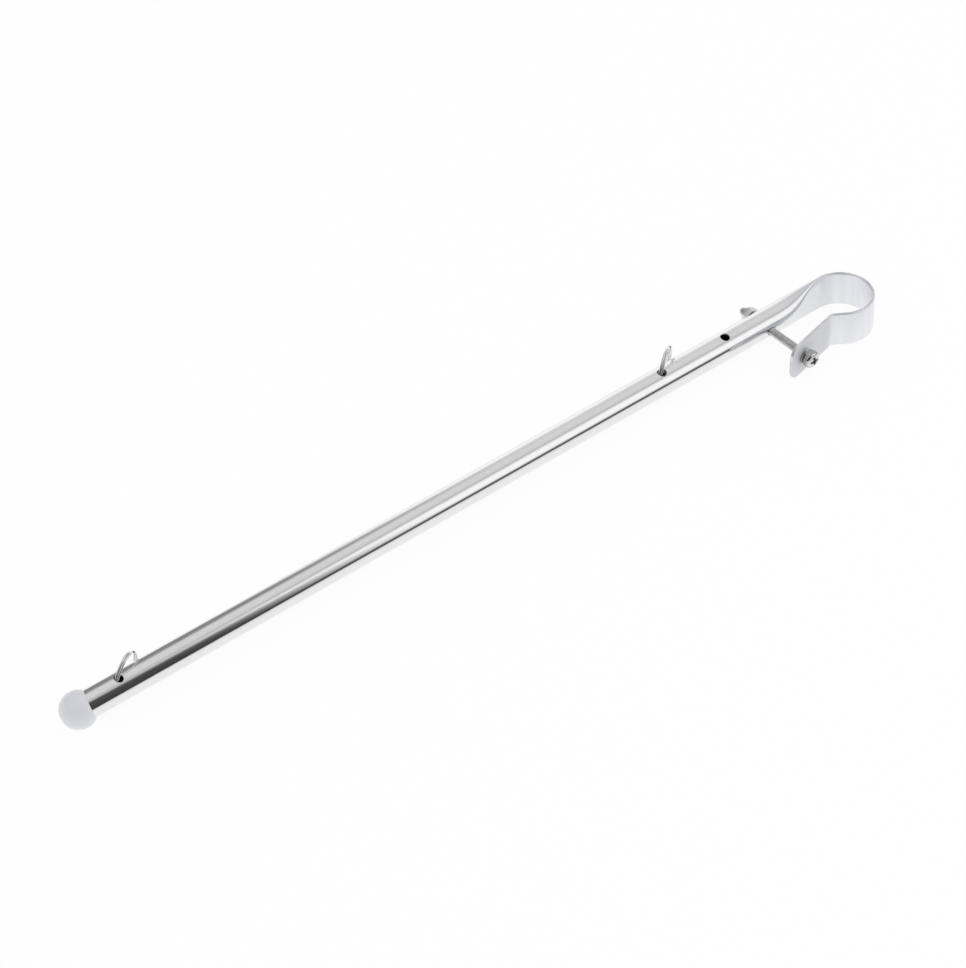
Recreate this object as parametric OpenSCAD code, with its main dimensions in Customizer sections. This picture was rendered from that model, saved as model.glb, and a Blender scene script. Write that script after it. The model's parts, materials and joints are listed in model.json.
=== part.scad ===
// Rail-mount flagpole, lying on its side. One thin-wall tube is the pole: its end is
// flattened into a strap, curled round a rail and held by a screw through its free tab.
// +X runs from the ball to the clamp. The Z axis is the axis of the rail that the open clamp
// goes round, and the pole lies beside it, at +Y, with its own axis at Z = 0. It rests on
// the edge of the strap, half the strap's width below that.

/* [Pole tube] */
// Outer diameter of the tube
tube_d = 12.7; // [12:0.1:16]
// Wall of the tube
wall = 0.7; // [0.5:0.05:1]
// Distance from the rail axis to the centre of the ball
pole_l = 420.5; // [320:0.5:600]
// Length over which the tube goes from round to flat
neck_l = 30; // [24:1:38]

/* [Clamp] */
// Width of the strap, measured along the rail
strap_w = 17.6; // [17:0.1:19.1]
// Inner diameter of the clamp loop as it stands open
loop_id = 26.9; // [22:0.1:34]
// Part of a turn that the loop follows before it leaves the circle
loop_sweep = 213; // [195:1:225]
// Straight length between the loop and the reverse bend
ramp_l = 6; // [4:0.5:8]
// Radius of the reverse bend at the middle of the strap
bend_r = 2.5; // [2:0.1:4]
// Angle at which the tab splays away from the pole
tab_splay = 13; // [6:1:20]
// Length of the flat tab after the reverse bend
tab_l = 30.4; // [28:0.1:40]
// Radius of the two end corners of the tab
tab_corner_r = 5; // [2:0.5:8]

/* [Holes] */
// Diameter of the three holes across the tube
hole_d = 4.4; // [4:0.1:5]
// Angle of those holes from the rail axis, towards the tab
hole_tilt = 10; // [0:1:15]
// Distance from the rail axis to the spare hole
spare_hole_x = 57.9; // [50:0.1:70]
// Distance from the rail axis to the lower ring's hole
lower_hole_x = 95.4; // [85:0.1:120]
// Distance between the two ring holes, to suit the flag
ring_spacing = 304.5; // [200:0.5:460]

/* [Clamp screw] */
// Outer diameter of the screw thread
screw_d = 3.9; // [3:0.1:4.2]
// Length of the screw under its head
screw_l = 43.5; // [43:0.5:52]
// Distance from the rail axis to the screw
screw_x = 34.3; // [33:0.1:36]
// Diameter of the pan head
head_d = 8; // [7:0.1:9]
// Height of the pan head
head_h = 3.6; // [2.4:0.1:3.8]
// Outer diameter of the spring washer
washer_d = 7.4; // [7:0.1:8]
// Height of the spring washer, which stands open
washer_t = 1.8; // [0.8:0.1:2]
// Distance across two flats of the nut
nut_af = 7; // [6:0.1:8]
// Height of the nut
nut_h = 3.2; // [2:0.1:4]
// Radial clearance of the screw in the strap and the tube
screw_clear = 0.25; // [0.1:0.05:0.4]
// Radial clearance of the screw in the nut and the washer
thread_clear = 0.05; // [0.02:0.01:0.1]

/* [Split rings] */
// Diameter of the wire
wire_d = 1; // [0.8:0.05:1.1]
// How much larger a ring's radius, at the middle of its wire, is than the tube's
ring_spare = 3.55; // [3.35:0.05:4.05]
// Angle of a ring from the rail axis, towards the tab
ring_tilt = 5.5; // [0:0.5:10]
// Swing of the upper ring from square across the pole, towards the clamp
upper_swing = 64; // [-52:1:64]
// Swing of the lower ring from square across the pole, towards the clamp
lower_swing = 56; // [-60:1:60]

/* [Ball] */
// Diameter of the ball at the top of the pole
ball_d = 16.8; // [15.5:0.1:22]
// How far the tube goes past the centre of the ball
tube_past_centre = 2; // [0:0.1:3]
// Radial clearance of the tube in the ball
socket_clear = 0.05; // [0.02:0.01:0.2]

/* [Hidden] */
$fn = 64;
tube_r = tube_d / 2;
strap_t = 2 * wall;
loop_r = loop_id / 2 + strap_t / 2;
pole_y = loop_r;
ring_r = tube_r + ring_spare;
ring_r_in_wall = tube_r - wall / 2;
// A ring sits this far in from its holes' centres, and this far up along them.
ring_inset = 0.35;
ring_lift = 1.3;
ring_reach = sqrt(pow(ring_r, 2) - pow(ring_r_in_wall, 2)) - ring_inset;
// The two coils of a ring press into each other a little less than they touch.
coil_step = wire_d - 0.04;
eps = 0.01;
metal = "#c9cacf";
steel = "#9fa1a6";
ball_color = "#d3d6de";

// Where the strap leaves the loop, and its heading from there to the reverse bend.
leave_a = 90 - loop_sweep;
leave_x = loop_r * cos(leave_a);
leave_y = loop_r * sin(leave_a);
bend_heading = leave_a + 270;
// The reverse bend turns about this centre, and the tab starts at its end.
tab_heading = 180 + tab_splay;
bend_sweep = tab_heading - bend_heading;
bend_cx = leave_x + ramp_l * cos(bend_heading) - bend_r * sin(bend_heading);
bend_cy = leave_y + ramp_l * sin(bend_heading) + bend_r * cos(bend_heading);
tab_x = bend_cx + bend_r * sin(tab_heading);
tab_y = bend_cy - bend_r * cos(tab_heading);

// Outer face of the tab at a distance from the rail axis towards the ball.
function tab_face_y(x) = tab_y - (x + tab_x) * tan(tab_splay) - strap_t / 2 / cos(tab_splay);
seat_y = tab_face_y(screw_x + washer_d / 2);
head_y = seat_y - washer_t;

// Outline of the flattening tube: flat sides, and round ends of radius a that reach b.
neck_steps = 14;
bend_steps = 8;
outline_n = 40;
stays_round = 2.6;
comes_flat = 2.35;
function half_thickness(u) = wall + (tube_r - wall) * pow(1 - pow(u, stays_round), comes_flat);
function half_height(a) = tube_r + (strap_w / 2 - tube_r) * (tube_r - a) / (tube_r - wall);
function outline(a, b) = [for (i = [0 : outline_n - 1])
    let (angle = 360 * (i + 0.5) / outline_n, side = sin(angle) > 0 ? 1 : -1)
    [a * cos(angle), side * (b - a) + a * sin(angle)]];
// That outline set square across a path that passes (x, y) with a heading.
function section(x, y, heading, a, b) = [for (p = outline(a, b))
    [x - p[0] * sin(heading), y + p[0] * cos(heading), p[1]]];
// Triangles between neighbouring sections, counted from the point numbered first.
function skin(first, sections) = [for (k = [0 : sections - 2]) for (i = [0 : outline_n - 1])
    let (j = (i + 1) % outline_n, a = first + k * outline_n + i, b = first + k * outline_n + j)
    for (f = [[a, a + outline_n, b], [b, a + outline_n, b + outline_n]]) f];
function end_face(first) = [for (i = [0 : outline_n - 1]) first + i];
function turned(faces) = [for (f = faces) [for (i = [len(f) - 1 : -1 : 0]) f[i]]];

module strap_profile() {
    square([strap_t, strap_w - strap_t], center = true);
    for (side = [-1, 1])
        translate([0, side * (strap_w - strap_t) / 2])
            circle(d = strap_t);
}

module cross_hole(x) {
    translate([-x, pole_y, 0])
        rotate([hole_tilt, 0, 0])
            cylinder(d = hole_d, h = tube_d + 2, center = true);
}

module pole_tube() {
    tube_l = pole_l + tube_past_centre - neck_l;
    color(metal)
        difference() {
            translate([-neck_l, pole_y, 0])
                rotate([0, -90, 0])
                    difference() {
                        cylinder(d = tube_d, h = tube_l);
                        translate([0, 0, -1])
                            cylinder(d = tube_d - strap_t, h = tube_l + 2);
                    }
            cross_hole(spare_hole_x);
            cross_hole(lower_hole_x);
            cross_hole(lower_hole_x + ring_spacing);
            on_screw(pole_y)
                cylinder(r = screw_d / 2 + screw_clear, h = tube_d + 2, center = true);
        }
}

module pole_neck() {
    sections = neck_steps + 1;
    // The hollow inside ends where its two walls nearly meet.
    inner_sections = sections - 2;
    outer = [for (k = [0 : sections - 1])
        let (u = k / neck_steps, a = half_thickness(u))
        each section(-neck_l * (1 - u), pole_y, 0, a, half_height(a))];
    inner = [for (k = [0 : inner_sections - 1])
        let (u = k / neck_steps, a = half_thickness(u))
        each section(-neck_l * (1 - u), pole_y, 0, a - wall, half_height(a) - wall)];
    inner_first = len(outer);
    rim = [for (i = [0 : outline_n - 1])
        let (j = (i + 1) % outline_n)
        each [[i, j, inner_first + i], [j, inner_first + j, inner_first + i]]];
    ends = [end_face(inner_first - outline_n),
        end_face(inner_first + (inner_sections - 1) * outline_n)];
    color(metal)
        polyhedron(concat(outer, inner), concat(skin(0, sections), rim,
            turned(skin(inner_first, inner_sections)), turned([ends[0]]), [ends[1]]));
}

module clamp_loop() {
    color(metal)
        rotate([0, 0, leave_a])
            rotate_extrude(angle = loop_sweep, $fn = 128)
                translate([loop_r, 0])
                    strap_profile();
}

module clamp_tab() {
    bend = [for (k = [0 : bend_steps])
        let (heading = bend_heading + bend_sweep * k / bend_steps)
        [bend_cx + bend_r * sin(heading), bend_cy - bend_r * cos(heading), heading]];
    path = concat([[leave_x, leave_y, bend_heading]], bend,
        [[tab_x + tab_l * cos(tab_heading), tab_y + tab_l * sin(tab_heading), tab_heading]]);
    points = [for (p = path) each section(p[0], p[1], p[2], strap_t / 2, strap_w / 2)];
    ends = [end_face(0), end_face(len(points) - outline_n)];
    color(metal)
        difference() {
            polyhedron(points, concat(skin(0, len(path)), [ends[0]], turned([ends[1]])));
            translate([tab_x, tab_y, 0])
                rotate([0, 0, tab_heading])
                    for (side = [-1, 1])
                        tab_corner_cut(side);
            on_screw(0)
                cylinder(r = screw_d / 2 + 2 * screw_clear, h = tab_l);
        }
}

// What is cut away to round one end corner of the tab.
module tab_corner_cut(side) {
    translate([tab_l - tab_corner_r, 0, side * (strap_w / 2 - tab_corner_r)])
        rotate([90, 0, 0])
            difference() {
                translate([0, side > 0 ? 0 : -tab_corner_r - 1, -strap_t])
                    cube([tab_corner_r + 1, tab_corner_r + 1, 2 * strap_t]);
                cylinder(r = tab_corner_r, h = 6 * strap_t, center = true);
            }
}

module ball_finial() {
    color(ball_color)
        translate([-pole_l, pole_y, 0])
            rotate([0, 90, 0])
                difference() {
                    sphere(d = ball_d);
                    translate([0, 0, -tube_past_centre])
                        cylinder(r = tube_r + socket_clear, h = ball_d);
                }
}

// Two coils of wire side by side, joined by a short crossing, round the hole's axis.
module split_ring(x, swing) {
    color(steel)
        translate([-x, pole_y, 0])
            rotate([ring_tilt, 0, 0])
                rotate([0, 0, 90 - swing])
                    translate([ring_reach, 0, ring_lift])
                        rotate([90, 0, 0])
                            for (side = [-1, 1])
                                translate([0, 0, side * coil_step / 2])
                                    rotate_extrude()
                                        translate([ring_r, 0])
                                            circle(d = wire_d, $fn = 24);
}

module upper_ring() {
    split_ring(lower_hole_x + ring_spacing, upper_swing);
}

module lower_ring() {
    split_ring(lower_hole_x, lower_swing);
}

// Places a piece on the screw's axis, with +Z running from the nut to the head.
module on_screw(y) {
    translate([-screw_x, y, 0])
        rotate([90, 0, 0])
            children();
}

module clamp_screw() {
    dome_r = (pow(head_d / 2, 2) + pow(head_h / 2, 2)) / head_h;
    slot_w = 1;
    slot_l = 4.4;
    slot_depth = 1.5;
    color(steel)
        on_screw(head_y)
            difference() {
                union() {
                    translate([0, 0, -screw_l])
                        cylinder(d = screw_d, h = screw_l + head_h / 2);
                    cylinder(d = head_d, h = head_h / 2);
                    intersection() {
                        translate([0, 0, head_h - dome_r])
                            sphere(r = dome_r, $fn = 128);
                        translate([0, 0, head_h / 2 - eps])
                            cylinder(d = head_d, h = head_h);
                    }
                }
                for (turn = [0, 90])
                    rotate([0, 0, turn])
                        translate([-slot_l / 2, -slot_w / 2, head_h - slot_depth])
                            cube([slot_l, slot_w, head_h]);
            }
}

module spring_washer() {
    slit_w = 0.7;
    color(steel)
        on_screw(seat_y)
            difference() {
                cylinder(d = washer_d, h = washer_t);
                translate([0, 0, -1])
                    cylinder(r = screw_d / 2 + thread_clear, h = washer_t + 2);
                rotate([0, 0, 135])
                    translate([0, -slit_w / 2, -1])
                        cube([washer_d, slit_w, washer_t + 2]);
            }
}

module hex_nut() {
    corner_d = nut_af / cos(30);
    color(steel)
        on_screw(pole_y + tube_r + nut_h)
            difference() {
                intersection() {
                    cylinder(d = corner_d, h = nut_h, $fn = 6);
                    cylinder(d1 = nut_af, d2 = nut_af + 2 * nut_h / tan(30), h = nut_h);
                    cylinder(d2 = nut_af, d1 = nut_af + 2 * nut_h / tan(30), h = nut_h);
                }
                translate([0, 0, -1])
                    cylinder(r = screw_d / 2 + thread_clear, h = nut_h + 2);
            }
}

pole_tube();
pole_neck();
clamp_loop();
clamp_tab();
ball_finial();
upper_ring();
lower_ring();
clamp_screw();
spring_washer();
hex_nut();
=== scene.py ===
"""Finished model of a rail-mount flagpole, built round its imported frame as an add-on's operators."""

import json
import math

import bmesh
import bpy
from mathutils import Matrix, Vector


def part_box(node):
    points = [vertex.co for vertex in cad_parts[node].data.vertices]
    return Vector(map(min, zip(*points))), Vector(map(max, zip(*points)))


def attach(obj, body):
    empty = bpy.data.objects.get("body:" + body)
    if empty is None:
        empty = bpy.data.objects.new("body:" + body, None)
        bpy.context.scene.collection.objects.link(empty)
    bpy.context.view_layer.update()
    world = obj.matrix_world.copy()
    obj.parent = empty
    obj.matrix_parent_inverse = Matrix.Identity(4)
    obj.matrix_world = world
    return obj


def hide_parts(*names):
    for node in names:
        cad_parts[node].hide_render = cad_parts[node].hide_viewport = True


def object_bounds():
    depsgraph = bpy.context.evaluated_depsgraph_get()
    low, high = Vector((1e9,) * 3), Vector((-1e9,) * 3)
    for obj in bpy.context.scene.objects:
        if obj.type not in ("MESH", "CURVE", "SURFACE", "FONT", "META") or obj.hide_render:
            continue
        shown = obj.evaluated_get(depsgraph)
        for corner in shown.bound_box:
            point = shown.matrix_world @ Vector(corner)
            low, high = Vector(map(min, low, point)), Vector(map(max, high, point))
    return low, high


bl_info = {
    "name": "Rail-Mount Flagpole",
    "version": (1, 0, 0),
    "blender": (4, 5, 0),
    "location": "3D View > Sidebar > Flagpole",
    "description": "Builds a small flagpole of flattened tube with its clamp, rings and ball",
    "category": "Add Mesh",
}

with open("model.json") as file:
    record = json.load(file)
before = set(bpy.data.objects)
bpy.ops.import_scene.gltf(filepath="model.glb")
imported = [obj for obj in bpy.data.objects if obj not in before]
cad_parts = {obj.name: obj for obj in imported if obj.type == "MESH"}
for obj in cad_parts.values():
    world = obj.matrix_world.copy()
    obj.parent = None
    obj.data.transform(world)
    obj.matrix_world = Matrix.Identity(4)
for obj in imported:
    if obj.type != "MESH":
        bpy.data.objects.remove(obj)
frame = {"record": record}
cad_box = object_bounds()
record = frame["record"]
hinges = {joint["name"]: joint for joint in record["behaviour"]["joints"]}
mounts = {mount["name"]: mount for mount in record["mounts"]}

MM = 0.001
FULL_TURN = 2 * math.pi


def middle_of(node):
    """The middle of a CAD node's box."""
    low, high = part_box(node)
    return (Vector(low) + Vector(high)) / 2


def tilt_of(axis):
    """How far an axis leans from straight up towards the tab, in degrees."""
    return math.degrees(math.atan2(-axis[1], axis[2]))


BALL_D = 16.8
POLE_Y = hinges["upper_ring_swing"]["pos_m"][1]
UPPER_X = -hinges["upper_ring_swing"]["pos_m"][0] / MM
LOWER_X = -hinges["lower_ring_swing"]["pos_m"][0] / MM
SPARE_X = -mounts["spare_hole"]["pos_m"][0] / MM
SCREW_X = -middle_of("hex_nut").x / MM
BALL_X = -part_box("ball_finial")[0].x / MM - BALL_D / 2
HOLE_TILT = tilt_of(mounts["spare_hole"]["axis"])
RING_TILT = tilt_of(hinges["upper_ring_swing"]["axis"])


def length(name, description, default_mm):
    """A length property whose default is given in millimetres."""
    return bpy.props.FloatProperty(
        name=name, description=description, default=default_mm * MM,
        min=0.0, unit="LENGTH", subtype="DISTANCE", precision=5,
    )


def angle(name, description, default_deg):
    """An angle property whose default is given in degrees."""
    return bpy.props.FloatProperty(
        name=name, description=description, default=math.radians(default_deg),
        unit="ROTATION", subtype="ANGLE",
    )


def colour(name, description, default):
    """A colour property in linear light."""
    return bpy.props.FloatVectorProperty(
        name=name, description=description, default=default, size=3,
        min=0.0, max=1.0, subtype="COLOR",
    )


class PoleSizes(bpy.types.PropertyGroup):
    tube_d: length("Tube Diameter", "Outer diameter of the tube", 12.7)
    wall: length("Wall", "Wall thickness of the tube", 0.7)
    pole_l: length("Pole Length", "From the rail's axis to the middle of the ball", BALL_X)
    past_ball: length("Past Ball Middle", "How far the tube goes past the ball's middle", 2)
    neck_l: length("Neck Length", "Length over which the tube comes flat", 30)
    strap_w: length("Strap Width", "Width of the flattened strap", 17.6)
    loop_id: length("Loop Inner Diameter", "Inner diameter of the open clamp", 26.9)
    loop_sweep: angle("Loop Sweep", "Turn of the strap round the rail", 213)
    ramp_l: length("Ramp Length", "Straight stretch after the loop", 6)
    bend_r: length("Bend Radius", "Radius of the reverse bend", 2.5)
    tab_splay: angle("Tab Splay", "Angle of the tab away from the pole", 13)
    tab_l: length("Tab Length", "Length of the flat tab", 30.4)
    corner_r: length("Corner Radius", "Radius of the tab's end corners", 5)
    hole_d: length("Hole Diameter", "Diameter of the holes across the tube", 4.4)
    hole_tilt: angle("Hole Tilt", "Tilt of the holes towards the tab", HOLE_TILT)
    spare_x: length("Spare Hole", "From the rail's axis to the spare hole", SPARE_X)
    lower_x: length("Lower Ring Hole", "From the rail's axis to the lower ring's hole", LOWER_X)
    ring_spacing: length("Ring Spacing", "Between the two ring holes", UPPER_X - LOWER_X)


class FastenerSizes(bpy.types.PropertyGroup):
    screw_x: length("Screw Position", "From the rail's axis to the screw", SCREW_X)
    screw_d: length("Screw Diameter", "Outer diameter of the thread", 3.9)
    screw_l: length("Screw Length", "Length under the head", 43.5)
    pitch: length("Thread Pitch", "Distance between two threads", 0.7)
    head_d: length("Head Diameter", "Diameter of the pan head", 8)
    head_h: length("Head Height", "Height of the pan head", 3.6)
    washer_d: length("Washer Diameter", "Outer diameter of the spring washer", 7.4)
    washer_t: length("Washer Height", "Height of the spring washer as it stands", 1.8)
    nut_af: length("Nut Width", "Width of the nut across its flats", 7)
    nut_h: length("Nut Height", "Height of the nut", 3.2)


class RingSizes(bpy.types.PropertyGroup):
    wire_d: length("Wire Diameter", "Diameter of the rings' wire", 1)
    ring_r: length("Ring Radius", "Radius at the middle of the wire", 9.9)
    inset: length("Ring Inset", "How far a ring sits in from its holes", 0.35)
    lift: length("Ring Lift", "How far a ring sits up in its holes", 1.3)
    tilt: angle("Ring Tilt", "Tilt of a ring towards the tab", RING_TILT)
    upper_swing: angle("Upper Swing", "Swing of the upper ring towards the clamp", 64)
    lower_swing: angle("Lower Swing", "Swing of the lower ring towards the clamp", 56)


class BallSizes(bpy.types.PropertyGroup):
    ball_d: length("Ball Diameter", "Diameter of the ball", BALL_D)
    clearance: length("Socket Clearance", "Radial gap round the tube", 0.05)
    lip_r: length("Lip Radius", "Rounding of the socket's mouth", 0.2)
    face_x: length("Face Distance", "From the ball's middle to its flat face, along the tube", 6.0)
    face_lean: angle("Face Lean", "Lean of the flat face away from square", 30.3)
    face_turn: angle("Face Turn", "Which way the flat face leans, round the tube", 49.1)


class Finishes(bpy.types.PropertyGroup):
    steel: colour("Steel", "Colour of the polished tube", (0.86, 0.86, 0.87))
    strap: colour("Strap", "Colour of the flattened metal", (0.93, 0.94, 0.98))
    # Painted shade: the cut edges are darker than the strap to stand in for the dark reflections along them.
    edge: colour("Sheared Edge", "Colour of the strap's cut edges", (0.64, 0.64, 0.66))
    drilled: colour("Drilled Edge", "Colour of the holes' walls", (0.55, 0.55, 0.56))
    fastener: colour("Fastener", "Colour of the screw and nut", (0.84, 0.84, 0.84))
    # Painted shade: the recess's walls get this dark colour to stand for the shade inside the recess.
    recess: colour("Recess", "Colour of the recess's pressed walls", (0.30, 0.30, 0.31))
    # Partly the washer's own darker steel and partly painted shade for the shadow under the head.
    washer: colour("Washer", "Colour of the spring washer", (0.40, 0.40, 0.41))
    ring: colour("Ring Wire", "Colour of the split rings", (0.86, 0.86, 0.86))
    ball: colour("Ball", "Colour of the ball", (0.75, 0.77, 0.82))


# Shader nodes written as expressions -------------------------------------------------

FIRST_COLOUR, SECOND_COLOUR, MIXED_COLOUR = 6, 7, 2


class Value:
    """A node's output, on which arithmetic adds Math nodes."""

    def __init__(self, shader, socket):
        self.shader = shader
        self.socket = socket

    def _math(self, operation, first, second):
        return self.shader.node("Math", {"operation": operation}, {0: first, 1: second})

    def __add__(self, other):
        return self._math("ADD", self, other)

    __radd__ = __add__

    def __sub__(self, other):
        return self._math("SUBTRACT", self, other)

    def __rsub__(self, other):
        return self._math("SUBTRACT", other, self)

    def __mul__(self, other):
        return self._math("MULTIPLY", self, other)

    __rmul__ = __mul__

    def __truediv__(self, other):
        return self._math("DIVIDE", self, other)

    def __rtruediv__(self, other):
        return self._math("DIVIDE", other, self)

    def __neg__(self):
        return self._math("MULTIPLY", self, -1.0)

    def between(self, low, high):
        """0 below low, 1 above high, and smooth between them."""
        settings = {"interpolation_type": "SMOOTHSTEP"}
        inputs = {"Value": self, "From Min": low, "From Max": high}
        return self.shader.node("MapRange", settings, inputs)


class Shader:
    """A material's or the world's node tree."""

    def __init__(self, owner):
        owner.use_nodes = True
        self.tree = owner.node_tree
        self.tree.nodes.clear()

    def add(self, kind, settings=None, inputs=None):
        """Adds a node, sets it up and then fills its sockets."""
        made = self.tree.nodes.new("ShaderNode" + kind)
        for name, value in (settings or {}).items():
            if name == "stops":
                self._set_stops(made.color_ramp, value)
            else:
                setattr(made, name, value)
        for name, value in (inputs or {}).items():
            if isinstance(value, Value):
                self.tree.links.new(value.socket, made.inputs[name])
            else:
                made.inputs[name].default_value = value
        return made

    def node(self, kind, settings=None, inputs=None, output=0):
        """Adds a node and returns one of its outputs."""
        return Value(self, self.add(kind, settings, inputs).outputs[output])

    def _set_stops(self, ramp, stops):
        """Gives a ramp its grey stops."""
        while len(ramp.elements) > 1:
            ramp.elements.remove(ramp.elements[-1])
        for k, (place, shade) in enumerate(stops):
            stop = ramp.elements[0] if k == 0 else ramp.elements.new(place)
            stop.position = place
            stop.color = rgba([shade] * 3)

    def mix(self, factor, first, second):
        """Two colours mixed by a value."""
        inputs = {"Factor": factor, FIRST_COLOUR: first, SECOND_COLOUR: second}
        return self.node("Mix", {"data_type": "RGBA"}, inputs, output=MIXED_COLOUR)

    def mottled(self, patches, shade, factor, low=0.35, high=0.7):
        """A colour that turns lighter or darker in patches."""
        return self.mix(patches.between(low, high), rgba(shade), scaled(shade, factor))

    def place(self):
        """The point's place in the frame, in metres."""
        return self.node("TexCoord", output="Object")

    def parts(self, vector):
        """The three parts of a vector."""
        split = self.add("SeparateXYZ", {}, {"Vector": vector})
        return [Value(self, part) for part in split.outputs]

    def stretched(self, vector, scale):
        """A vector scaled by its own amount each way."""
        return self.node("Mapping", {}, {"Vector": vector, "Scale": scale})

    def noise(self, vector, scale, detail=2.0, roughness=0.5):
        """Soft noise from 0 to 1."""
        inputs = {"Vector": vector, "Scale": scale, "Detail": detail, "Roughness": roughness}
        return self.node("TexNoise", {}, inputs)

    def bump(self, height, distance, strength):
        """A bump of a real height in metres."""
        inputs = {"Height": height, "Distance": distance, "Strength": strength}
        return self.node("Bump", {}, inputs)

    def finish(self, shader, kind="OutputMaterial"):
        """Plugs a shader into the tree's output."""
        self.add(kind, {}, {"Surface": shader})

    def surface(self, inputs):
        """The finished surface, plugged into the output."""
        self.finish(self.node("BsdfPrincipled", {}, inputs))


def rgba(shade):
    """A colour with full alpha."""
    return (*shade, 1.0)


def scaled(shade, factor):
    """A colour made lighter or darker."""
    return rgba([min(1.0, part * factor) for part in shade])


# Mesh helpers ------------------------------------------------------------------------

SAME_PLACE = 1e-7


def loft(bm, ring, sections):
    """Extrudes a ring of vertices from section to section, and returns the last ring."""
    for section in sections:
        order = {v: k for k, v in enumerate(ring)}
        around = dict.fromkeys(e for v in ring for e in v.link_edges)
        edges = [e for e in around if e.verts[0] in order and e.verts[1] in order]
        made = bmesh.ops.extrude_edge_only(bm, edges=edges)
        follow = {}
        for v in made["geom"]:
            if isinstance(v, bmesh.types.BMVert):
                old = [e.other_vert(v) for e in v.link_edges if e.other_vert(v) in order]
                follow[order[old[0]]] = v
        ring = [follow[k] for k in range(len(ring))]
        for v, place in zip(ring, section):
            v.co = place
    return ring


def first_ring(bm, section):
    """A closed ring of edges through a section's points."""
    made = bmesh.ops.create_circle(bm, cap_ends=False, radius=1.0, segments=len(section))
    ring = made["verts"]
    for v, place in zip(ring, section):
        v.co = place
    return ring


def close_ring(bm, ring):
    """Fills a ring with one face."""
    bm.faces.new(ring)


def tidy_normals(bm):
    """Merges doubled vertices and turns every face outwards."""
    bmesh.ops.remove_doubles(bm, verts=bm.verts, dist=SAME_PLACE)
    bmesh.ops.recalc_face_normals(bm, faces=bm.faces)


def spun(profile, steps):
    """A closed solid turned from a profile of (radius, height) pairs."""
    bm = bmesh.new()
    verts = [bm.verts.new((r, 0.0, z)) for r, z in profile]
    edges = [bm.edges.new(pair) for pair in zip(verts, verts[1:])]
    bmesh.ops.spin(bm, geom=verts + edges, cent=(0, 0, 0), axis=(0, 0, 1),
                   angle=FULL_TURN, steps=steps, use_merge=True)
    tidy_normals(bm)
    return bm


def as_mesh(name, bm):
    """Turns a bmesh into a mesh and frees it."""
    mesh = bpy.data.meshes.new(name)
    bm.to_mesh(mesh)
    bm.free()
    return mesh


def carved(name, bm, cutters, operation="DIFFERENCE"):
    """A mesh cut by, or kept within, each of the cutters in turn."""
    body = bpy.data.objects.new(name, as_mesh(name, bm))
    bpy.context.scene.collection.objects.link(body)
    tools = []
    for k, cutter in enumerate(cutters):
        tool = bpy.data.objects.new(f"{name}_tool_{k}", as_mesh(f"{name}_tool_{k}", cutter))
        bpy.context.scene.collection.objects.link(tool)
        cut = body.modifiers.new(f"cut_{k}", "BOOLEAN")
        cut.operation = operation
        cut.solver = "EXACT"
        cut.object = tool
        tools.append(tool)
    graph = bpy.context.evaluated_depsgraph_get()
    mesh = bpy.data.meshes.new_from_object(body.evaluated_get(graph))
    for spent in [body, *tools]:
        old = spent.data
        bpy.data.objects.remove(spent)
        bpy.data.meshes.remove(old)
    made = bmesh.new()
    made.from_mesh(mesh)
    bpy.data.meshes.remove(mesh)
    tidy_normals(made)
    return made


def eased(bm, width, over_deg, segments=2):
    """Rounds every edge sharper than an angle."""
    limit = math.radians(over_deg)
    edges = [e for e in bm.edges if e.is_manifold and e.calc_face_angle() > limit]
    bmesh.ops.bevel(bm, geom=edges, offset=width, offset_type="OFFSET", segments=segments,
                    profile=0.5, affect="EDGES", material=-1, clamp_overlap=True)


def add_piece(name, bm, body, nodes, material, crease_deg=35):
    """Turns a finished bmesh into a piece that rides on a CAD body."""
    mesh = as_mesh(name, bm)
    mesh.shade_smooth()
    mesh.set_sharp_from_angle(angle=math.radians(crease_deg))
    piece = bpy.data.objects.new(name, mesh)
    bpy.context.scene.collection.objects.link(piece)
    mesh.materials.append(material)
    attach(piece, body)
    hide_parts(*nodes)
    return piece


# Finishes ----------------------------------------------------------------------------


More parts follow.
